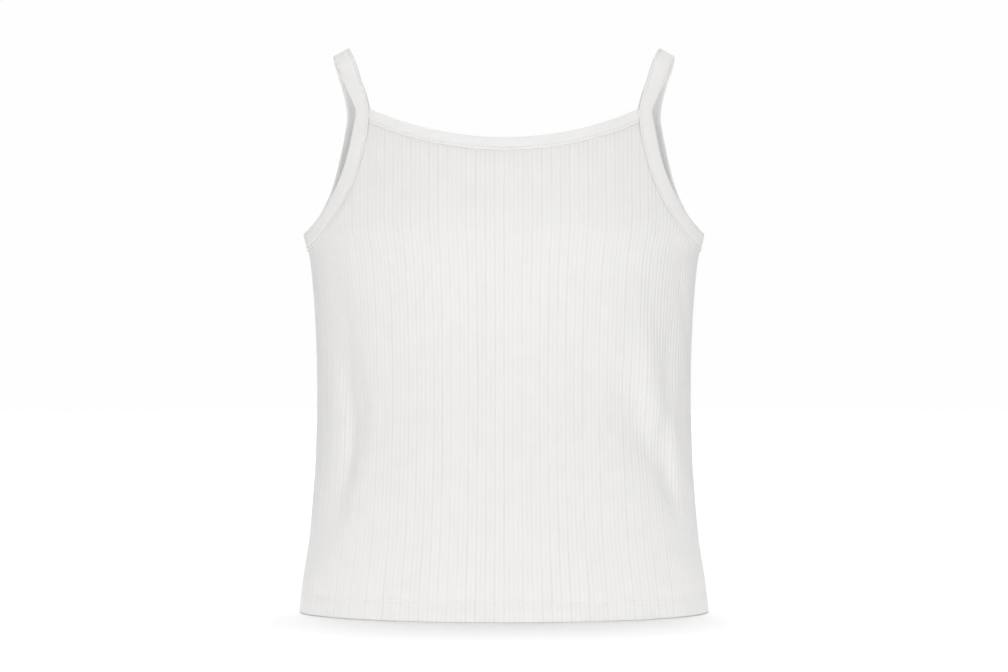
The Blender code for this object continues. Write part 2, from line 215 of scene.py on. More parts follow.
def body_point(angle, height):
    """x = a sin(angle), y = -b cos(angle), z = height, pushed inwards by the folds; all in millimetres."""
    angle, height = np.broadcast_arrays(np.asarray(angle, float), np.asarray(height, float))
    half_width, front, back = np.moveaxis(smooth_through(OVALS[:, 0], OVALS[:, 1:], height), -1, 0)
    depth = np.where(np.cos(angle) > 0, front, back)
    out_x = np.sin(angle) / half_width
    out_y = -np.cos(angle) / depth
    out = np.hypot(out_x, out_y)
    push = fold_depth(angle, height, half_width)
    x = half_width * np.sin(angle) - push * out_x / out
    y = -depth * np.cos(angle) - push * out_y / out
    return np.stack([x, y, height], axis=-1)


def slopes_at(angle, height):
    """How a point of the body moves for each radian and for each millimetre of height."""
    turn = 1e-4
    rise = 0.01
    per_angle = (body_point(angle + turn, height) - body_point(angle - turn, height)) / (2 * turn)
    per_height = (body_point(angle, height + rise) - body_point(angle, height - rise)) / (2 * rise)
    return per_angle, per_height


def body_normal(angle, height):
    """Outward direction: the cross product of the two slopes."""
    per_angle, per_height = slopes_at(angle, height)
    return unit(np.cross(per_angle, per_height))


print("folds:", len(FOLDS))

# %% [markdown]
# ## Edges of the cut
#
# The armholes are curves through a few places on the body, and the neck edges are arcs in the front
# view. Distances are stepped off along the cloth, square to an edge, as a binding's width is measured.

# %% Armholes and necklines
FRONT_ARMHOLE = np.array([
    # degrees from the front centre, height
    (46.2, -46.0), (47.1, -56.0), (48.7, -70.0), (51.2, -86.0), (54.7, -99.5),
    (59.4, -112.0), (66.0, -123.3), (75.5, -130.8), (90.0, -133.5),
])
BACK_ARMHOLE = np.array([
    # degrees from the back centre, height
    (53.1, -46.0), (54.7, -60.0), (57.0, -76.0), (60.0, -93.0),
    (64.4, -108.0), (71.0, -122.0), (79.5, -130.5), (90.0, -133.5),
])
STRAP_PATH = np.array([
    # middle line x, y, z, turn of the width towards the back, drop of the outer edge, both in degrees, width
    (106.2, -53.5, -34.5, 20, 13, 12.0),
    (110.9, -47.5, -23.5, 15, 13, 13.2),
    (115.0, -39.5, -12.0, 12, 17, 14.2),
    (119.0, -25.0, -2.8, 7, 24, 13.8),
    (121.7, -7.0, 2.1, 2, 29, 13.0),
    (122.7, 10.0, 1.3, -4, 30, 12.6),
    (121.9, 26.0, -4.8, -11, 27, 12.6),
    (118.7, 38.5, -16.5, -19, 21, 12.2),
    (116.0, 44.5, -29.0, -24, 15, 11.7),
])
NECK_LOW = {FRONT: -66.1, BACK: -60.0}
NECK_RADIUS = {FRONT: 226.5, BACK: 390.0}
PANEL_CORNER = -45.5  # the panels stop here, inside the strips
SHOULDER_HALF_WIDTH = 150.0
ARMHOLE_KNOTS = 17


def step_inside(angles, heights, distance, towards):
    """Move an edge's points over the cloth, square to the edge, by a distance measured on the surface."""
    along_angle = np.gradient(angles)
    along_height = np.gradient(heights)
    per_angle, per_height = slopes_at(angles, heights)
    e = (per_angle * per_angle).sum(-1)
    f = (per_angle * per_height).sum(-1)
    g = (per_height * per_height).sum(-1)
    turn = -(f * along_angle + g * along_height)
    rise = e * along_angle + f * along_height
    length = np.sqrt(e * turn ** 2 + 2 * f * turn * rise + g * rise ** 2)
    return angles + towards * distance * turn / length, heights + towards * distance * rise / length


def armhole_edge(centre, side, count):
    """Evenly spaced angles and heights from the strap's foot to the side seam."""
    table = BACK_ARMHOLE if centre == BACK else FRONT_ARMHOLE
    angle = np.radians(table[:, 0])
    chord = chord_lengths(body_point(angle, table[:, 1]))
    values = smooth_through(chord, np.column_stack([angle, table[:, 1]]), np.linspace(0, chord[-1], count))
    off_centre = np.minimum(values[:, 0], math.pi / 2)
    angles = math.pi - off_centre if centre == BACK else off_centre
    return side * angles, values[:, 1]


def arc_drop(centre, angle):
    """sqrt(R squared - x squared): how far the neck arc's point lies under the arc's centre."""
    return np.sqrt(NECK_RADIUS[centre] ** 2 - (SHOULDER_HALF_WIDTH * np.sin(angle)) ** 2)


def neck_height(centre, angle):
    """Height of a neck edge: low + R - drop, an arc in the front view."""
    return NECK_LOW[centre] + NECK_RADIUS[centre] - arc_drop(centre, angle)


def neck_lean(centre, angle):
    """How much longer a plumb line across the neck binding is than one square to it."""
    return NECK_RADIUS[centre] / arc_drop(centre, angle)


# %% [markdown]
# ## From a grid to a mesh
#
# A grid of points becomes quads by numbering. It carries a map in millimetres of cloth, so the knit
# patterns bend with the cloth and keep their true size. A grid can also close on itself one way.

# %% Meshes from grids
def in_scene(name, data):
    """A new object in the scene."""
    holder = bpy.data.objects.new(name, data)
    bpy.context.scene.collection.objects.link(holder)
    return holder


def quad_corners(row, column, following, width):
    """Numbers of each quad's four corners, in a grid whose rows hold width points."""
    return np.stack([row * width + column, row * width + following,
                     (row + 1) * width + following, (row + 1) * width + column], axis=-1)


def close_up(mesh, caps=()):
    """Add the cap faces and turn all faces outwards."""
    shape = bmesh.new()
    shape.from_mesh(mesh)
    shape.verts.ensure_lookup_table()
    for cap in caps:
        shape.faces.new([shape.verts[index] for index in cap])
    bmesh.ops.recalc_face_normals(shape, faces=shape.faces)
    shape.to_mesh(mesh)
    shape.free()


def grid_piece(name, points, cloth_map, closed=False, turned=False, shades=None):
    """Quads between neighbouring grid points; points are (rows, columns, 3) in millimetres.

    cloth_map is (rows, columns, 2) in millimetres, with one column more where the rows are closed rings.
    shades are named numbers for each point, which the materials read to paint shade into the colour.
    """
    rows, columns = points.shape[:2]
    map_columns = cloth_map.shape[1]
    row, column = np.meshgrid(np.arange(rows - 1), np.arange(map_columns - 1), indexing="ij")
    corners = quad_corners(row, column, (column + 1) % columns if closed else column + 1, columns)
    places = quad_corners(row, column, column + 1, map_columns)
    if turned:
        corners = corners[..., ::-1]
        places = places[..., ::-1]
    corners = corners.reshape(-1)
    mesh = bpy.data.meshes.new(name)
    mesh.vertices.add(rows * columns)
    mesh.vertices.foreach_set("co", (points * MM).astype(np.float32).ravel())
    mesh.loops.add(len(corners))
    mesh.loops.foreach_set("vertex_index", corners.astype(np.int32))
    mesh.polygons.add(len(corners) // 4)
    mesh.polygons.foreach_set("loop_start", np.arange(0, len(corners), 4, dtype=np.int32))
    mesh.update(calc_edges=True)
    layer = mesh.uv_layers.new(name="cloth_mm")
    layer.uv.foreach_set("vector", cloth_map.reshape(-1, 2)[places.reshape(-1)].astype(np.float32).ravel())
    for label, values in (shades or {}).items():
        store = mesh.attributes.new(label, "FLOAT", "POINT")
        store.data.foreach_set("value", values.astype(np.float32).ravel())
    mesh.shade_smooth()
    mesh.validate()
    print(name, "quads", len(mesh.polygons))
    return in_scene(name, mesh)


# %% [markdown]
# ## The ribs
#
# The cloth is a flat rib: columns of stitches, called wales, that stand as smooth bands with a sunk line
# between them. Every second line is sunk deeper, which gives the broad 7 mm repeat with a fainter line
# down its middle. Knitted cloth is never quite even, so each line's strength drifts up and down it.

# %% Rib relief
GROOVE_REACH = 0.12  # half width of a sunk line, as a share of one wale
DEEP_GROOVE = 0.18
FAINT_GROOVE = 0.10
LIP = 0.05  # height of the low ridge beside a sunk line
LIP_PLACE = 0.24  # its distance from the line and its reach, in wales
LIP_REACH = 0.1
LONG_DRIFT = 31.0  # millimetres of height for each radian of a line's drift
SHORT_DRIFT = 9.5
WALE_SHARES = np.array([0.0, 0.09, 0.2, 0.5, 0.8, 0.91])
chance = np.random.default_rng(11)
LINE_STRENGTH = 1 + 0.22 * chance.standard_normal(2 * WALES_PER_PANEL + 2).clip(-1.6, 1.6)
LINE_PHASE = chance.uniform(0, 2 * math.pi, 2 * WALES_PER_PANEL + 2)


def groove_strength(wale, height):
    """Depth of the nearest sunk line: deep or faint by turns, times a strength that drifts with height."""
    line = np.rint(wale).astype(int)
    number = line % len(LINE_STRENGTH)
    drift = 1 + 0.16 * np.sin(height / LONG_DRIFT + LINE_PHASE[number])
    drift = drift + 0.1 * np.sin(height / SHORT_DRIFT + 2 * LINE_PHASE[number])
    depth = np.where(line % 2 == 0, DEEP_GROOVE, FAINT_GROOVE)
    return depth * LINE_STRENGTH[number] * drift


def rib_relief(wale, height):
    """Inward depth: strength * bell of the distance to the nearest line, less a low lip beside it."""
    away = np.abs(wale - np.rint(wale))
    strength = groove_strength(wale, height)
    sunk = strength * bump(away, GROOVE_REACH)
    lip = LIP * bump(away - LIP_PLACE, LIP_REACH) * strength / DEEP_GROOVE
    return sunk - lip, sunk / DEEP_GROOVE


# %% [markdown]
# ## The two body panels
#
# A panel runs from one side seam to the other. Its columns are the wales, six points to each. Its rows go
# from the cut top edge, hidden in the bindings, down to the hem, round the fold and up inside as the
# turned layer. The two needle rows press the cloth in, and it curls in at the side seams. Solidify gives
# the wall its thickness.

# %% Panels
PANEL_ROWS = 44
HEM_ROWS = np.array([1.2, 3.4, 6.0, 8.6, 10.8, 11.5, 12.0, 12.5, 13.5, 14.5, 15.0, 15.5, 16.6, 18.5, 22.0])
FOLD_TURNS = np.radians([0, 36, 72, 108, 144, 180])
FOLD_RADIUS = 1.15
TURNED_ROWS = np.array([3.0, 7.0, 11.6, 12.0, 12.4, 14.6, 15.0, 15.4, HEM_LAYER])
PANEL_INSET = 1.6  # how far the cut edge sits inside the folded edge of a binding
ROW_CROWDING = 0.96  # below 1 the rows lie closer together towards the top
PRESS_DEPTH = 0.28  # of the cloth under each needle row, and its reach
PRESS_REACH = 0.7
SEAM_CURL = 1.3  # of the cloth into the side seams, and its reach
SEAM_REACH = 0.8


def wale_angles(centre):
    """Angles of the panel's columns, spaced so that every wale is equally wide round the mean oval."""
    dense = np.linspace(-math.pi / 2, math.pi / 2, 4001)
    half_width = OVALS[:, 1].mean()
    depth = OVALS[:, 3 if centre == BACK else 2].mean()
    oval = np.column_stack([half_width * np.sin(dense), depth * np.cos(dense)])
    chord = chord_lengths(oval)
    wales = (np.arange(WALES_PER_PANEL)[:, None] + WALE_SHARES).ravel()
    wales = np.append(wales, WALES_PER_PANEL)
    return np.interp(wales / WALES_PER_PANEL * chord[-1], chord, dense), wales, chord[-1]


def panel_top(centre, angles):
    """Height of the cut top edge over each angle off the panel's own centre."""
    edge = armhole_edge(centre, LEFT, 240)
    towards = LEFT if centre == BACK else -LEFT
    arm_angles, arm_heights = step_inside(*edge, PANEL_INSET, towards)
    if centre == BACK:
        arm_angles = math.pi - arm_angles
    arm_heights = np.minimum(arm_heights, PANEL_CORNER)
    neck_angles = np.linspace(0, arm_angles[0] - 0.01, 200)
    neck_heights = neck_height(centre, neck_angles) - PANEL_INSET * neck_lean(centre, neck_angles)
    neck_heights = np.minimum(neck_heights, PANEL_CORNER)
    return np.interp(np.abs(angles), np.append(neck_angles, arm_angles), np.append(neck_heights, arm_heights))


def panel_rows(tops):
    """Heights and inward distances of the rows: down the face, round the hem's fold and up inside."""
    shares = np.linspace(1, 0, PANEL_ROWS)[:-1] ** ROW_CROWDING
    lower = HEM + HEM_ROWS[-1]
    heights = [lower + share * (tops - lower) for share in shares]
    heights += [np.full_like(tops, HEM + row) for row in HEM_ROWS[::-1]]
    outer = len(heights)
    inward = [np.zeros_like(tops)] * outer
    for turn in FOLD_TURNS:
        heights.append(np.full_like(tops, HEM + FOLD_RADIUS * (1 - math.sin(turn))))
        inward.append(np.full_like(tops, FOLD_RADIUS * (1 - math.cos(turn))))
    for row in TURNED_ROWS:
        heights.append(np.full_like(tops, HEM + row))
        inward.append(np.full_like(tops, 2 * FOLD_RADIUS))
    return np.array(heights), np.array(inward), outer


def cloth_lengths(heights, inward, outer):
    """Height over the hem on the face, then minus the way gone round the fold and up inside."""
    steps = np.abs(np.diff(inward[outer:, 0])) + np.abs(np.diff(heights[outer:, 0]))
    lengths = heights - HEM
    lengths[outer:] = -np.append(0, np.cumsum(steps))[:, None]
    return lengths


def panel_grid(centre):
    """Points, map and groove shade of a panel: the body surface less (relief + press) and the curl."""
    own_angles, wales, girth = wale_angles(centre)
    heights, inward, outer = panel_rows(panel_top(centre, own_angles))
    number = wales + (WALES_PER_PANEL if centre == BACK else 0)
    relief, sunk = rib_relief(np.broadcast_to(number, heights.shape), heights)
    facing = np.cos(np.interp(inward / FOLD_RADIUS, [0, 1, 2], [0, math.pi / 2, math.pi]))
    pressed = sum(bump(heights - HEM - row, PRESS_REACH) for row in HEM_STITCH_HEIGHTS) * PRESS_DEPTH
    to_seam = np.minimum(wales, WALES_PER_PANEL - wales) * girth / WALES_PER_PANEL
    curl = SEAM_CURL * bump(np.broadcast_to(to_seam, heights.shape), SEAM_REACH)
    angles = np.broadcast_to(math.pi - own_angles if centre == BACK else own_angles, heights.shape)
    sink = inward + (relief + pressed) * facing + curl
    points = body_point(angles, heights) - body_normal(angles, heights) * sink[..., None]
    across = np.broadcast_to(number * girth / WALES_PER_PANEL, heights.shape)
    return points, np.stack([across, cloth_lengths(heights, inward, outer)], axis=-1), sunk


def make_panel(name, centre, node):
    """One panel: the grid with a 0.9 mm wall inside it."""
    points, cloth_map, sunk = panel_grid(centre)
    piece = grid_piece(name, points, cloth_map, turned=centre == FRONT, shades={"sunk": sunk})
    wall = piece.modifiers.new("wall", "SOLIDIFY")
    wall.thickness = CLOTH * MM
    wall.offset = -1
    wall.use_even_offset = False
    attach(piece, "root")
    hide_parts(node)
    return piece


front = make_panel("front_body", FRONT, "front_panel")
back = make_panel("back_body", BACK, "back_panel")

# %% [markdown]
# ## Folded bindings
#
# A binding is a strip of knit folded over a cut edge and sewn through both legs. Its section is always
# the same: a rounded fold at the free edge, a plain band, a line sunk by the stitches, and a small bead
# beyond them over the turned-in raw edge. It is a closed ring, whose slot holds the panel's edge. The
# fine ribs run across the strip, because binding is cut across the roll, the way a knit stretches.

# %% The folded section
LEG = 0.85  # thickness of one leg of the strip
SLOT = 0.10  # play between a leg and the panel
BINDING_FACE = SLOT + LEG  # heights off the panel's face
BINDING_BACK = -CLOTH - SLOT - LEG
STITCH_LENGTH = 2.8
STITCH_FROM_EDGE = 2.3  # the edge stitch's distance from the band's inner edge
SEWN_STEPS = np.array([0.0, 0.05, 0.35, 0.9, 1.5, 1.9, STITCH_FROM_EDGE, 2.7, 3.3])
SEWN_SWELL = np.array([-0.66, -0.3, -0.02, 0.1, 0.05, -0.14, -0.26, -0.14, 0.0])
STITCH_POINT = 6  # the stitched-down line's number in the two rows above
BAND_SHARES = np.linspace(0.62, 0.16, 4)
BAND_CROWN = 0.05  # the band's middle stands this much prouder
BAND_MIDDLE = 0.4
BACK_CROWN = 0.04
ROUND_TURNS = np.radians([62, 38, 14, -14, -38, -62])
FLATTENED = 0.9  # the fold's depth, as a share of its half height
EDGE_ROUND = 0.3  # how far the soft fold bulges past the cut line
SLOT_MOUTH = 0.35
SLOT_ROOF = 0.2


def section_ring(width, face, slot_face, slot_back, back):
    """Closed rings of (distance from the free edge, height off the cloth), one for each value given.

    Over the face to the free edge, round the fold, back along the inner leg and round the slot.
    """
    half = (face - back) / 2
    middle = (face + back) / 2
    sewn = list(zip(SEWN_STEPS, SEWN_SWELL))
    inner = [(width - step, face + swell) for step, swell in sewn]
    crown = [(width * share, face + BAND_CROWN - BAND_CROWN * abs(share - BAND_MIDDLE))
             for share in BAND_SHARES]
    fold = [(half * (1 - math.cos(turn)) * FLATTENED - EDGE_ROUND, middle + half * math.sin(turn))
            for turn in ROUND_TURNS]
    under = [(width * share, back - BACK_CROWN) for share in BAND_SHARES[::-1]]
    lower = [(width - step, back - swell) for step, swell in sewn[::-1]]
    roof = half * FLATTENED + SLOT_ROOF
    slot = [(width - SLOT_MOUTH, slot_back), ((width + roof) / 2, slot_back), (roof, slot_back),
            (roof, slot_face), ((width + roof) / 2, slot_face), (width - SLOT_MOUTH, slot_face)]
    ring = inner + crown + fold + under + lower + slot
    outside = len(ring) - len(slot)
    return np.stack([np.stack(place, axis=-1) for place in ring], axis=1), outside


# %% [markdown]
# ### Ribs, stitch pulls and the way along the edge
#
# The cross ribs wander, each stitch pulls the cloth down and the bead rises and falls. After these small
# moves the section is carried along its two lines, the free edge and the sewn edge.

# %% Dress and carry a section
CROSS_RIB = 1.9  # spacing of the strip's fine ribs
CROSS_RIB_DEPTH = 0.045
STITCH_PULL = 0.06
NEAR_STITCH = (0.5, 1.0, 0.5)  # share of the pull beside, on and beyond the stitched line


def dress_section(ring, outside, along, ends):
    """Moves square to the section: cross ribs and stitch pulls inwards, and a slow swell of the bead."""
    steps = np.roll(ring, -1, axis=1) - np.roll(ring, 1, axis=1)
    square = unit(np.stack([steps[..., 1], -steps[..., 0]], axis=-1))
    wander = 0.35 * np.sin(along / 7.3) + 0.2 * np.sin(along / 2.9 + 1)
    across_rib = 0.5 - 0.5 * np.cos(2 * math.pi * (along + wander) / CROSS_RIB)
    pull = STITCH_PULL * (0.5 - 0.5 * np.cos(2 * math.pi * along / STITCH_LENGTH))
    uneven = 0.07 * np.sin(along / 11 + 0.6) + 0.05 * np.sin(along / 4.7)
    stitch_line = np.zeros(ring.shape[1])
    for middle in (STITCH_POINT, outside - 1 - STITCH_POINT):
        stitch_line[middle - 1:middle + 2] = NEAR_STITCH
    move = np.zeros(ring.shape[:2])
    move[:, :outside] -= (CROSS_RIB_DEPTH * across_rib)[:, None]
    move -= pull[:, None] * stitch_line
    move[:, :len(SEWN_STEPS)] += uneven[:, None]
    return ring + square * move[..., None] * ends[:, None, None], across_rib


def carry(ring, edge, inside, edge_normal, inside_normal, width):
    """Place a section: edge + (inside - edge) * distance / width + the blended normal * height."""
    share = (ring[..., 0] / width[:, None])[..., None]
    line = edge[:, None] + (inside - edge)[:, None] * share
    normal = unit(edge_normal[:, None] + (inside_normal - edge_normal)[:, None] * share)
    return line + normal * ring[..., 1:]


def binding_piece(name, node, lines, section, along, taper, turned):
    """A closed strip: its section dressed and carried along its lines, with a map of length by girth."""
    ring, ribs = dress_section(*section, along, taper)
    points = carry(ring, *lines)
    around = np.concatenate([ring, ring[:, :1]], axis=1)
    distance = np.linalg.norm(np.diff(around, axis=1), axis=2).mean(0)
    distance = np.concatenate([[0], np.cumsum(distance)])
    cloth_map = np.stack(np.broadcast_arrays(along[:, None], distance[None, :]), axis=-1)
    sunk = np.broadcast_to(ribs[:, None], points.shape[:2])
    # seam is painted shadow: full at the sewn edge, fading inwards, and a little on the stitched line
    seam = np.zeros(points.shape[:2])
    seam[:, [0, 1, 2, STITCH_POINT]] = (1.0, 0.8, 0.15, 0.3)
    piece = grid_piece(name, points, cloth_map, closed=True, turned=turned,
                       shades={"sunk": sunk, "seam": seam})
    count, size = points.shape[:2]
    close_up(piece.data, [range(size), range((count - 1) * size, count * size)])
    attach(piece, "root")
    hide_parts(node)
    return piece


# %% [markdown]
# ### The lines of the shoulder strips
#
# The free edge follows the armhole, and the sewn edge lies a strip's width inside it. Between the
# armholes both arch over the shoulder, as one smooth curve.

# %% Lines of the strips
STATION_SPACING = 0.48  # between the rings of a binding
STRAP_STATIONS = 17
STRAP_BLEND = 3  # stations over which binding turns into strap
FEET = 3  # armhole knots that guide the strap's curve


def armhole_lines(centre, side):
    """Edge and inner lines from the strap's foot to the side seam, and the outward directions there."""
    angles, heights = armhole_edge(centre, side, ARMHOLE_KNOTS)
    foot_share = np.clip(1 - np.arange(ARMHOLE_KNOTS) / 2, 0, 1)
    distance = ARMHOLE_WIDTH + (STRAP_FOOT_WIDTH - ARMHOLE_WIDTH) * foot_share
    towards = side if centre == BACK else -side
    in_angles, in_heights = step_inside(angles, heights, distance, towards)
    in_angles[-1] = angles[-1]
    return (body_point(angles, heights), body_point(in_angles, in_heights),
            body_normal(angles, heights), body_normal(in_angles, in_heights))


def strip_lines(side):
    """Edge and inner lines, their outward directions, widths and how much of a strap each station is."""
    front_part = armhole_lines(FRONT, side)
    back_part = armhole_lines(BACK, side)
    turn, drop = np.radians(STRAP_PATH[:, 3:5]).T
    across = np.column_stack([np.cos(drop) * np.cos(turn), np.cos(drop) * np.sin(turn), -np.sin(drop)])
    mirror = np.array([side, 1, 1])
    half_width = STRAP_PATH[:, 5:] / 2
    strap_edge = (STRAP_PATH[:, :3] + across * half_width) * mirror
    strap_inside = (STRAP_PATH[:, :3] - across * half_width) * mirror
    key_edge = np.concatenate([front_part[0][:FEET][::-1], strap_edge, back_part[0][:FEET]])
    key_inside = np.concatenate([front_part[1][:FEET][::-1], strap_inside, back_part[1][:FEET]])
    chord = chord_lengths((key_edge + key_inside) / 2)
    at = np.linspace(chord[FEET - 1], chord[-FEET], STRAP_STATIONS + 2)[1:-1]
    edge = smooth_through(chord, key_edge, at)
    inside = smooth_through(chord, key_inside, at)
    along = np.gradient((edge + inside) / 2, at, axis=0)
    normal = unit(np.cross(edge - inside, along)) * side
    station = np.arange(STRAP_STATIONS)
    ramp = np.clip(np.minimum(station, station[::-1]) / STRAP_BLEND, 0, 1)
    strap_share = np.concatenate([np.zeros(ARMHOLE_KNOTS), ramp, np.zeros(ARMHOLE_KNOTS)])
    lines = [np.concatenate([before[::-1], middle, after])
             for before, middle, after in zip(front_part, (edge, inside, normal, normal), back_part)]
    return *lines, np.linalg.norm(lines[0] - lines[1], axis=1), strap_share


def close_lines(side):
    """The same lines at even, close stations."""
    lines = strip_lines(side)
    chord = chord_lengths((lines[0] + lines[1]) / 2)
    at = np.linspace(0, chord[-1], int(chord[-1] / STATION_SPACING) + 1)
    close = [smooth_through(chord, line, at) for line in lines[:5]]
    return close[0], close[1], unit(close[2]), unit(close[3]), close[4], np.interp(at, chord, lines[5]), at


strip = {side: close_lines(side) for side in (LEFT, RIGHT)}
print("strip length, mm:", round(strip[LEFT][6][-1], 1))

# %% [markdown]
# ## The two neck bindings
#
# Each follows its neck arc. It is cut along the shoulder strips' inner line, and thins slightly there,
# because the strip was sewn down over its end.

# %% Neck bindings
NECK_END_GAP = 0.15
NECK_RISE = 14.0  # about how far a neck edge climbs to its ends
STRIP_FOOT = -95.0  # below this a strip's inner line turns to the side seam
END_THINNING = 0.3


def neck_end(centre, heights):
    """Angle off centre at which a neck binding meets the strip's inner line, at each height."""
    inside = strip[LEFT][1]
    half = inside[inside[:, 1] < 0] if centre == FRONT else inside[inside[:, 1] > 0]
    half = half[half[:, 2] > STRIP_FOOT]
    order = np.argsort(half[:, 2])
    x = np.interp(heights, half[order, 2], half[order, 0])
    return np.arcsin((x - NECK_END_GAP) / SHOULDER_HALF_WIDTH)


def make_neck_binding(name, centre, node):
    """The folded section carried along the neck arc, its ends cut along the strips' inner lines."""
    first = neck_end(centre, np.array([NECK_LOW[centre] + NECK_RISE]))[0]
    count = int(2 * SHOULDER_HALF_WIDTH * 0.8 * first / STATION_SPACING) + 1
    share = np.linspace(-1, 1, count)
    end_height = neck_height(centre, np.full(1, first))
    angles = share * neck_end(centre, end_height)[0]
    low_angles = share * neck_end(centre, end_height - NECK_WIDTH)[0]
    heights = neck_height(centre, angles)
    low_heights = neck_height(centre, low_angles) - NECK_WIDTH * neck_lean(centre, low_angles)
    if centre == BACK:
        angles, low_angles = math.pi - angles, math.pi - low_angles
    edge = body_point(angles, heights)
    inside = body_point(low_angles, low_heights)
    inside_normal = body_normal(low_angles, low_heights)
    width = np.full(count, NECK_WIDTH)
    along = chord_lengths(edge)
    ends = np.minimum(along, along[-1] - along)
    thin = END_THINNING * bump(ends, 1.2)
    section = section_ring(width, BINDING_FACE - thin, np.full(count, SLOT),
                           np.full(count, -CLOTH - SLOT), BINDING_BACK + thin)
    lines = edge, inside, body_normal(angles, heights), inside_normal, width
    piece = binding_piece(name, node, lines, section, along, np.clip(ends / 2, 0, 1), centre == BACK)
    return piece, (edge, inside, inside_normal)


front_neck, front_neck_line = make_neck_binding("front_neck_edge", FRONT, "front_neck_binding")
back_neck, back_neck_line = make_neck_binding("back_neck_edge", BACK, "back_neck_binding")

# %% [markdown]
# ## The two shoulder strips
#
# The same section runs on as the strap. With no panel in its slot the two legs lie flat on each other,
# and the split between them shows along its inner edge.

# %% Shoulder strips
STRAP_FACE = 0.55
STRAP_BACK = -1.75
STRAP_MIDDLE = (STRAP_FACE + STRAP_BACK) / 2
STRAP_SPLIT = 0.04  # half the play between a strap's two legs


def make_strip(name, side, node):
    """The folded section carried along the armholes and over the shoulder."""
    *lines, strap, along = strip[side]
    section = section_ring(
        lines[-1],
        BINDING_FACE + strap * (STRAP_FACE - BINDING_FACE),
        SLOT + strap * (STRAP_MIDDLE + STRAP_SPLIT - SLOT),
        -CLOTH - SLOT + strap * (STRAP_MIDDLE - STRAP_SPLIT + CLOTH + SLOT),
        BINDING_BACK + strap * (STRAP_BACK - BINDING_BACK))
    taper = np.clip(np.minimum(along, along[-1] - along) / 2, 0, 1)
    return binding_piece(name, node, lines, section, along, taper, side == LEFT)


left_strip = make_strip("left_shoulder_strip", LEFT, "left_strap_binding")
right_strip = make_strip("right_shoulder_strip", RIGHT, "right_strap_binding")

# %% [markdown]
# ## Sewing thread
#
# A stitch on the face is a short plump stretch of thread that dives into the cloth at both ends, so each
# is a small closed spindle.

# %% Stitches
SPINDLE_RINGS = np.radians([12, 50, 90, 130, 168])
SPINDLE_SIDES = 6
PLUMPNESS = 0.6  # below 1 the spindle keeps its thickness nearer to its ends


def stitch_row(name, middles, along, up, length, radius):
    """middle + along * half length * cos(t) + (side * cos(s) + up * sin(s)) * radius * sin(t)^0.6."""
    side = unit(np.cross(up, along))
    rounds = np.radians(np.arange(0, 360, 360 // SPINDLE_SIDES))
    t, s = np.meshgrid(SPINDLE_RINGS, rounds, indexing="ij")
    forward = (np.cos(t) * length / 2).ravel()
    wide = (np.sin(t) ** PLUMPNESS * np.cos(s) * radius).ravel()
    high = (np.sin(t) ** PLUMPNESS * np.sin(s) * radius).ravel()
    points = (middles[:, None] + along[:, None] * forward[:, None] + side[:, None] * wide[:, None]
              + up[:, None] * high[:, None])
    ring, step = np.meshgrid(np.arange(len(SPINDLE_RINGS) - 1), np.arange(SPINDLE_SIDES), indexing="ij")
    quads = quad_corners(ring, step, (step + 1) % SPINDLE_SIDES, SPINDLE_SIDES).reshape(-1, 4)
    size = len(forward)
    starts = np.arange(len(middles)) * size
    faces = (starts[:, None, None] + quads).reshape(-1, 4).tolist()
    first_cap = (starts[:, None] + np.arange(SPINDLE_SIDES)[::-1]).tolist()
    last_cap = (starts[:, None] + size - SPINDLE_SIDES + np.arange(SPINDLE_SIDES)).tolist()
    mesh = bpy.data.meshes.new(name)
    mesh.from_pydata((points.reshape(-1, 3) * MM).tolist(), [], faces + first_cap + last_cap)
    mesh.shade_smooth()
    close_up(mesh)
    piece = in_scene(name, mesh)
    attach(piece, "root")
    print(name, "stitches", len(middles))
    return piece


def resample(values, chord, at):
    """Each axis of a line of vectors, read off at new running lengths."""
    return np.stack([np.interp(at, chord, values[:, axis]) for axis in range(3)], axis=-1)


def row_places(line, up, pitch):
    """Even places along a line of points, with the line's direction and the outward direction there."""
    chord = chord_lengths(line)
    count = int(chord[-1] / pitch)
    at = (np.arange(count) + 0.5) * chord[-1] / count
    ahead = resample(line, chord, at + 0.4)
    behind = resample(line, chord, at - 0.4)
    return resample(line, chord, at), unit(ahead - behind), unit(resample(up, chord, at))


# %% [markdown]
# ### Where the rows run
#
# Two needles sew the hem all round, and one row holds every binding. The thread's pull sinks it a little.

# %% Rows of thread
HEM_PITCH = 3.1
HEM_THREAD = (2.5, 0.27)  # length and radius of a stitch's visible stretch
HEM_SINK = 0.16
EDGE_THREAD = (2.2, 0.2)
EDGE_SINK = 0.17


def hem_row(lift):
    """The line of one needle all round the hem, on the pressed-in cloth."""
    angles = np.linspace(-math.pi, math.pi, 1601)
    heights = np.full_like(angles, HEM + lift)
    normal = body_normal(angles, heights)
    return body_point(angles, heights) - normal * HEM_SINK, normal


def edge_row(edge, inside, normal, lift):
    """The line of an edge stitch, a little in from a binding's inner edge, at a height off the cloth."""
    across = unit(inside - edge)
    return inside - across * STITCH_FROM_EDGE + normal * lift[:, None], normal


def join_rows(rows):
    """Several rows' places and directions as one row's."""
    return [np.concatenate(parts) for parts in zip(*rows)]


hem_rows = [row_places(*hem_row(lift), HEM_PITCH) for lift in HEM_STITCH_HEIGHTS]
hem_thread = stitch_row("hem_stitching", *join_rows(hem_rows), *HEM_THREAD)
edge_rows = []
for edge, inside, normal in (front_neck_line, back_neck_line):
    lift = np.full(len(edge), BINDING_FACE - EDGE_SINK)
    edge_rows.append(row_places(*edge_row(edge, inside, normal, lift), STITCH_LENGTH))
for edge, inside, _, inside_normal, _, strap, _ in strip.values():
    lift = BINDING_FACE + strap * (STRAP_FACE - BINDING_FACE) - EDGE_SINK
    edge_rows.append(row_places(*edge_row(edge, inside, inside_normal, lift), STITCH_LENGTH))
edge_thread = stitch_row("edge_stitching", *join_rows(edge_rows), *EDGE_THREAD)

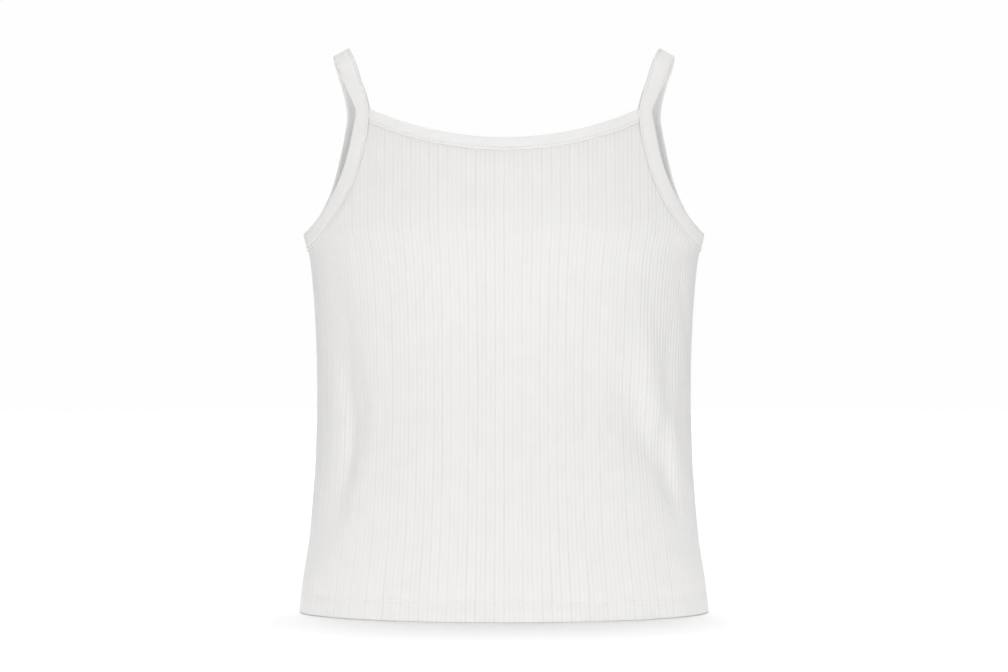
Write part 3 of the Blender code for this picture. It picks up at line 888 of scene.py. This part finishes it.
# %% [markdown]
# ## Finishes
#
# All of it is near white. A cotton knit is matt with a soft bloom at grazing angles, where loose fibres
# catch light: that is the sheen. Patterns follow the real stitch, about 1.2 mm wide and 0.8 mm high.

# %% Helpers for materials
SHARE, FROM, TO, MIXED = 0, 6, 7, 2  # a colour mix's sockets go by number
WAVE = math.pi / 10                  # spacing of a wave texture at a scale of 1


def linear(hex_colour):
    """sRGB to linear: c / 12.92 below 0.04045, otherwise ((c + 0.055) / 1.055) to the power 2.4."""
    parts = [int(hex_colour[place:place + 2], 16) / 255 for place in (1, 3, 5)]
    return [c / 12.92 if c <= 0.04045 else ((c + 0.055) / 1.055) ** 2.4 for c in parts] + [1.0]


def add_node(material, kind, inputs=(), **settings):
    """Add a shader node: settings are its own properties, inputs are its sockets' values or links."""
    tree = material.node_tree
    node = tree.nodes.new(kind)
    for name, value in settings.items():
        setattr(node, name, value)
    for socket, value in dict(inputs).items():
        if isinstance(value, bpy.types.NodeSocket):
            tree.links.new(value, node.inputs[socket])
        else:
            node.inputs[socket].default_value = value
    return node


def start_material(name, sheen, roughness):
    """A cloth's shader with its constant values."""
    material = bpy.data.materials.new(name)
    material.use_nodes = True
    shader = material.node_tree.nodes["Principled BSDF"]
    for socket, value in (("Roughness", roughness), ("IOR", 1.53), ("Specular IOR Level", 0.25),
                          ("Sheen Weight", sheen), ("Sheen Roughness", 0.55)):
        shader.inputs[socket].default_value = value
    return material, shader


def knit_places(material):
    """The cloth's own map in millimetres, and how sunk each point is."""
    return (add_node(material, "ShaderNodeUVMap", uv_map="cloth_mm").outputs["UV"],
            add_node(material, "ShaderNodeAttribute", attribute_name="sunk").outputs["Fac"])


def finish_cloth(material, shader, colour, height, depth, strength=0.8):
    """Join a colour, and a bump whose height from 0 to 1 stands for a depth in metres."""
    relief = add_node(material, "ShaderNodeBump", {"Height": height, "Distance": depth, "Strength": strength})
    material.node_tree.links.new(colour, shader.inputs["Base Color"])
    material.node_tree.links.new(relief.outputs["Normal"], shader.inputs["Normal"])


def with_fibre(material, cloth, stitch, scale, share):
    """Height of the knit: its stitches plus a share of fine noise for loose fibre."""
    fibre = add_node(material, "ShaderNodeTexNoise", {"Vector": cloth, "Scale": scale, "Detail": 3.0})
    return add_node(material, "ShaderNodeMath", {0: fibre.outputs["Fac"], 1: share, 2: stitch},
                    operation="MULTIPLY_ADD").outputs[0]


# %% [markdown]
# ### Bleached cotton rib
#
# Circular-knitted cotton with a little elastane. Its courses are fine bumps across the wales. The sunk
# lines are painted slightly darker, a painted shade for the light that stays in them, and uneven yarn gives a
# faint mottle.

# %% Rib material
def make_rib():
    """Rib: courses times loops for the stitches, mottled white, with painted shade darkening the sunk lines.
    """
    material, shader = start_material("bleached cotton rib", 0.28, 0.92)
    cloth, sunk = knit_places(material)
    courses = add_node(material, "ShaderNodeTexWave", {"Vector": cloth, "Scale": WAVE / 0.8},
                     bands_direction="Y").outputs["Fac"]
    loops = add_node(material, "ShaderNodeTexWave", {"Vector": cloth, "Scale": WAVE / 1.17},
                     bands_direction="X").outputs["Fac"]
    stitch = add_node(material, "ShaderNodeMath", {0: courses, 1: loops}, operation="MULTIPLY").outputs[0]
    mottle = add_node(material, "ShaderNodeTexNoise", {"Vector": cloth, "Scale": 0.06, "Detail": 4.0})
    tone = add_node(material, "ShaderNodeMapRange",
                    {"Value": mottle.outputs["Fac"], "From Min": 0.3, "From Max": 0.7}).outputs["Result"]
    face = add_node(material, "ShaderNodeMix", {SHARE: tone, FROM: linear("#F0EFEE"), TO: linear("#F2F1F0")},
                    data_type="RGBA").outputs[MIXED]
    # painted shade: the colour darkens towards #DFDCDC with the depth of the sunk lines
    depth = add_node(material, "ShaderNodeMath", {0: sunk, 1: 0.4}, operation="MULTIPLY").outputs[0]
    colour = add_node(material, "ShaderNodeMix", {SHARE: depth, FROM: face, TO: linear("#DFDCDC")},
                      data_type="RGBA").outputs[MIXED]
    finish_cloth(material, shader, colour, with_fibre(material, cloth, stitch, 2.2, 0.55), 0.00006)
    return material


# %% [markdown]
# ### Bleached cotton binding and thread
#
# The binding is a finer, firmer knit, a shade warmer. Its cross ribs are modelled, so the material adds
# loops and fibre, and painted shade between the ribs. Along its sewn edge it is painted grey, a painted
# shadow where roll and panel shade each other. The thread is corespun polyester: smoother than cotton, so it
# has a little more shine.

# %% Binding and thread materials
def make_binding():
    """Binding: loops along the strip, with painted shade between its fine ribs and a painted shadow at the
    sewn edge.
    """
    material, shader = start_material("bleached cotton binding", 0.3, 0.9)
    cloth, sunk = knit_places(material)
    seam = add_node(material, "ShaderNodeAttribute", attribute_name="seam").outputs["Fac"]
    loops = add_node(material, "ShaderNodeTexWave", {"Vector": cloth, "Scale": WAVE / 0.75},
                     bands_direction="Y").outputs["Fac"]
    # painted shade: the colour darkens towards #EBE9E7 in the grooves between the fine ribs
    painted_rib_shade = add_node(material, "ShaderNodeMath", {0: sunk, 1: 0.3}, operation="MULTIPLY").outputs[0]
    face = add_node(material, "ShaderNodeMix",
                    {SHARE: painted_rib_shade, FROM: linear("#F6F5F4"), TO: linear("#EBE9E7")},
                    data_type="RGBA").outputs[MIXED]
    # painted shadow: the sewn edge and the stitched line are greyed towards #C6C3C1
    colour = add_node(material, "ShaderNodeMix", {SHARE: seam, FROM: face, TO: linear("#C6C3C1")},
                      data_type="RGBA").outputs[MIXED]
    finish_cloth(material, shader, colour, with_fibre(material, cloth, loops, 2.8, 0.6), 0.00005)
    return material


def make_thread():
    """Thread: diagonal bands for its twist."""
    material, shader = start_material("white corespun polyester thread", 0.15, 0.6)
    place = add_node(material, "ShaderNodeTexCoord").outputs["Object"]
    twist = add_node(material, "ShaderNodeTexWave", {"Vector": place, "Scale": 700.0, "Distortion": 1.0},
                     bands_direction="DIAGONAL").outputs["Fac"]
    colour = add_node(material, "ShaderNodeMix",
                      {SHARE: twist, FROM: linear("#F0EFEE"), TO: linear("#F7F6F5")},
                      data_type="RGBA").outputs[MIXED]
    finish_cloth(material, shader, colour, twist, 0.00003, strength=0.6)
    return material


for finish, pieces in ((make_rib(), (front, back)),
                       (make_binding(), (front_neck, back_neck, left_strip, right_strip)),
                       (make_thread(), (hem_thread, edge_thread))):
    print(finish.name, "on", [piece.name for piece in pieces])
    for piece in pieces:
        piece.data.materials.clear()
        piece.data.materials.append(finish)

# %% [markdown]

# %% [markdown]
# ## The floor
#
# The garment stands on a flat disc of white paper, which glows a little towards its rim so that no line
# shows between it and the white beyond.

# %% Floor
FLOOR = HEM - 0.4  # just under the hem's fold
FLOOR_REACH = 6000.0


def make_floor():
    """The disc of paper with its glowing rim."""
    reach, turn = np.meshgrid(np.linspace(1.0, FLOOR_REACH, 12), np.radians(np.linspace(0, 360, 97)),
                              indexing="ij")
    points = np.stack([reach * np.cos(turn), reach * np.sin(turn), np.full_like(turn, FLOOR)], axis=-1)
    paper = grid_piece("white_floor", points, points[..., :2])
    material, shader = start_material("matt white paper", 0.0, 1.0)
    place = add_node(material, "ShaderNodeTexCoord").outputs["Object"]
    grain = add_node(material, "ShaderNodeTexNoise", {"Vector": place, "Scale": 40.0}).outputs["Fac"]
    colour = add_node(material, "ShaderNodeMix",
                      {SHARE: grain, FROM: linear("#FAFAFA"), TO: linear("#FCFCFC")},
                      data_type="RGBA").outputs[MIXED]
    distance = add_node(material, "ShaderNodeVectorMath", {0: place}, operation="LENGTH").outputs["Value"]
    glow = add_node(material, "ShaderNodeMapRange", {"Value": distance, "From Min": 1.0,
                                                      "From Max": 5.0, "To Max": 0.3}).outputs["Result"]
    material.node_tree.links.new(colour, shader.inputs["Base Color"])
    material.node_tree.links.new(glow, shader.inputs["Emission Strength"])
    paper.data.materials.append(material)
    return paper


floor = make_floor()

# %% [markdown]
# ## Light
#
# A wide softbox in front makes the cloth's middle the lightest part and lets its sides turn light grey,
# and one behind keeps the back light. Light from a round patch of ceiling draws the narrow soft shadow
# under the hem, and a second one, which only the paper takes, keeps it white. A low glow before the hem
# stands for light off the paper. The white world lights the cloth only faintly.

# %% Lights and the white world
def add_lamp(name, kind, **settings):
    """A lamp in the scene with its own settings."""
    lamp = bpy.data.lights.new(name, kind)
    for setting, value in settings.items():
        setattr(lamp, setting, value)
    return in_scene(name, lamp)


def aim(lamp, place, target):
    """Put a lamp in its place, looking along its own -Z at a target."""
    lamp.location = place
    lamp.rotation_euler = (Vector(target) - Vector(place)).to_track_quat("-Z", "Y").to_euler()


CHEST = (0.0, 0.0, -0.2)
aim(add_lamp("front softbox", "AREA", shape="RECTANGLE", size=1.8, size_y=1.8, energy=28.0),
    (0.0, -2.6, 0.5), CHEST)
aim(add_lamp("rear softbox", "AREA", shape="RECTANGLE", size=2.6, size_y=1.8, energy=22.0),
    (0.0, 2.9, 0.5), CHEST)
ceiling = add_lamp("overhead softbox", "SUN", angle=math.radians(50), energy=2.0)
ceiling.rotation_euler = (-math.radians(8), 0, 0)
hem_glow = add_lamp("glow of the paper before the hem", "AREA", shape="ELLIPSE", size=0.51, size_y=0.29,
                    energy=0.15)
hem_glow.location = (0.0, -0.05, (FLOOR + 1.0) * MM)
hem_glow.rotation_euler = (math.pi, 0, 0)
hem_glow.visible_camera = False
paper_light = add_lamp("paper light", "SUN", angle=math.radians(32), energy=0.6)
paper_light.rotation_euler = (-math.radians(16), 0, 0)
only_paper = bpy.data.collections.new("lit by the paper light")
only_paper.objects.link(floor)
paper_light.light_linking.receiver_collection = only_paper

SEEN_WHITE = 0.99  # what the camera sees beyond the paper, and what lights the cloth
CAST_WHITE = 0.13
world = bpy.data.worlds.new("studio")
world.use_nodes = True
background = world.node_tree.nodes["Background"]
background.inputs["Color"].default_value = (1.0, 1.0, 1.0, 1.0)
seen = add_node(world, "ShaderNodeLightPath").outputs["Is Camera Ray"]
strength = add_node(world, "ShaderNodeMapRange", {"Value": seen, "To Min": CAST_WHITE, "To Max": SEEN_WHITE})
world.node_tree.links.new(strength.outputs["Result"], background.inputs["Strength"])
bpy.context.scene.world = world
bpy.context.scene.view_settings.view_transform = "Standard"
print("lamps:", len(bpy.data.lights))

# %% [markdown]
# ## Camera
#
# A long lens square to the front and level with the garment's middle keeps upright lines upright.

# %% Camera
CAMERA_DISTANCE = 2.19
CAMERA_DROP = 0.0046  # below the garment's middle
lens = bpy.data.cameras.new("camera")
lens.sensor_width = 36.0
lens.lens = 104.3
camera = in_scene("camera", lens)
camera.location = (0.0, -CAMERA_DISTANCE, (cad_low[2] + cad_high[2]) / 2 - CAMERA_DROP)
camera.rotation_euler = (math.pi / 2, 0, 0)
bpy.context.scene.camera = camera
